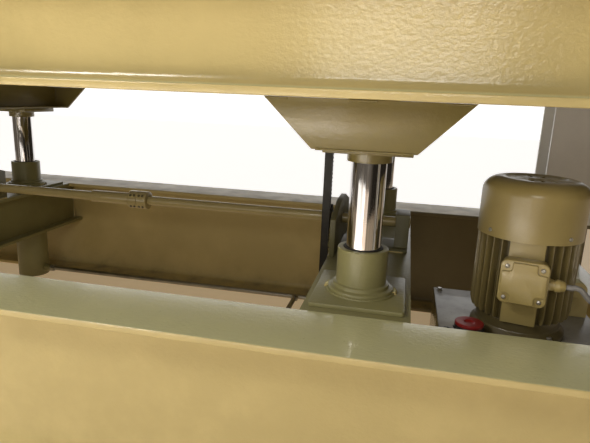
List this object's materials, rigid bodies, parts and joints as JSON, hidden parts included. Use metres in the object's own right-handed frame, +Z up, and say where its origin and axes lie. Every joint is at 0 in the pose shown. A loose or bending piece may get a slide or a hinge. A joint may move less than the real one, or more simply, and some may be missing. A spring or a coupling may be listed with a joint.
{
  "type": "hydraulic panel press",
  "caption": "Beam-framed upstroke panel press: rams on cross beams lift a wide platen, kept level by racks, pinions and a torsion shaft; motor on an oil tank.",
  "frame": {"origin": "on the floor under the middle of the press frame", "axes": "+X along the press, -Y towards the operator, +Z up"},
  "size_m": [3.32, 1.548, 1.7492],
  "materials": {
    "frame_paint": "gloss",
    "motor_paint": "satin",
    "platen_steel": "brushed",
    "rod_chrome": "polished",
    "rack_steel": "oiled",
    "seal_rubber": "matte",
    "lid_steel": "matte",
    "cap_red": "satin",
    "black_plastic": "matte",
    "lead_grey": "matte",
    "line_steel": "satin"
  },
  "bodies": {
    "frame": {"base_beam_front": "frame_paint", "base_beam_rear": "frame_paint", "cross_beam_left": "frame_paint", "cross_beam_right": "frame_paint", "end_tie_left": "frame_paint", "end_tie_right": "frame_paint", "top_beam_front": "frame_paint", "top_beam_rear": "frame_paint", "bearing_stand_left": "frame_paint", "bearing_stand_right": "frame_paint", "oil_tank": "frame_paint", "junction_box": "frame_paint", "valve_block": "frame_paint", "upright_front_left": "frame_paint", "upright_front_right": "frame_paint", "upright_rear_left": "frame_paint", "upright_rear_right": "frame_paint", "cylinder_front_left": "frame_paint", "rod_seal_front_left": "seal_rubber", "cylinder_front_right": "frame_paint", "rod_seal_front_right": "seal_rubber", "cylinder_rear_left": "frame_paint", "rod_seal_rear_left": "seal_rubber", "cylinder_rear_right": "frame_paint", "rod_seal_rear_right": "seal_rubber", "upper_platen": "platen_steel", "motor_shield": "motor_paint", "motor_stator": "motor_paint", "fan_cowl": "motor_paint", "terminal_box": "motor_paint", "terminal_lid": "motor_paint", "cable_gland": "black_plastic", "filler_neck": "black_plastic", "tank_lid": "lid_steel", "motor_lead": "lead_grey", "oil_line_front": "line_steel", "oil_line_rear": "line_steel", "oil_line_manifold": "line_steel"},
    "platen": {"rod_front_left": "rod_chrome", "rod_front_right": "rod_chrome", "rod_rear_left": "rod_chrome", "rod_rear_right": "rod_chrome", "rod_head_front_left": "frame_paint", "rod_head_front_right": "frame_paint", "rod_head_rear_left": "frame_paint", "rod_head_rear_right": "frame_paint", "lift_beam_left": "frame_paint", "lift_beam_right": "frame_paint", "moving_beam_front": "frame_paint", "moving_beam_rear": "frame_paint", "lower_platen": "platen_steel", "rack_left": "rack_steel", "rack_right": "rack_steel"},
    "shaft": {"torsion_shaft_left": "frame_paint", "torsion_shaft_right": "frame_paint", "shaft_coupling": "frame_paint", "pinion_left": "rack_steel", "pinion_right": "rack_steel"},
    "fan": {"motor_fan": "black_plastic"},
    "cap": {"filler_cap": "cap_red"}
  },
  "joints": [
    {"name": "platen_lift", "type": "slide", "parent": "frame", "child": "platen", "axis": [0, 0, 1], "range_m": [-0.185, 0.2]},
    {"name": "shaft_turn", "type": "hinge", "parent": "frame", "child": "shaft", "pos_m": [0, 0, 0.531], "axis": [1, 0, 0], "range_deg": [-330, 305]},
    {"name": "fan_spin", "type": "hinge", "parent": "frame", "child": "fan", "pos_m": [1.195, -0.349, 0.7], "axis": [0, 0, 1], "continuous": true},
    {"name": "cap_turn", "type": "hinge", "parent": "frame", "child": "cap", "pos_m": [1.072, -0.449, 0.4], "axis": [0, 0, 1], "range_deg": [0, 90]}
  ],
  "couplings": [
    {"joint": "shaft_turn", "follows": "platen_lift", "rad_per_m": -27.778}
  ]
}
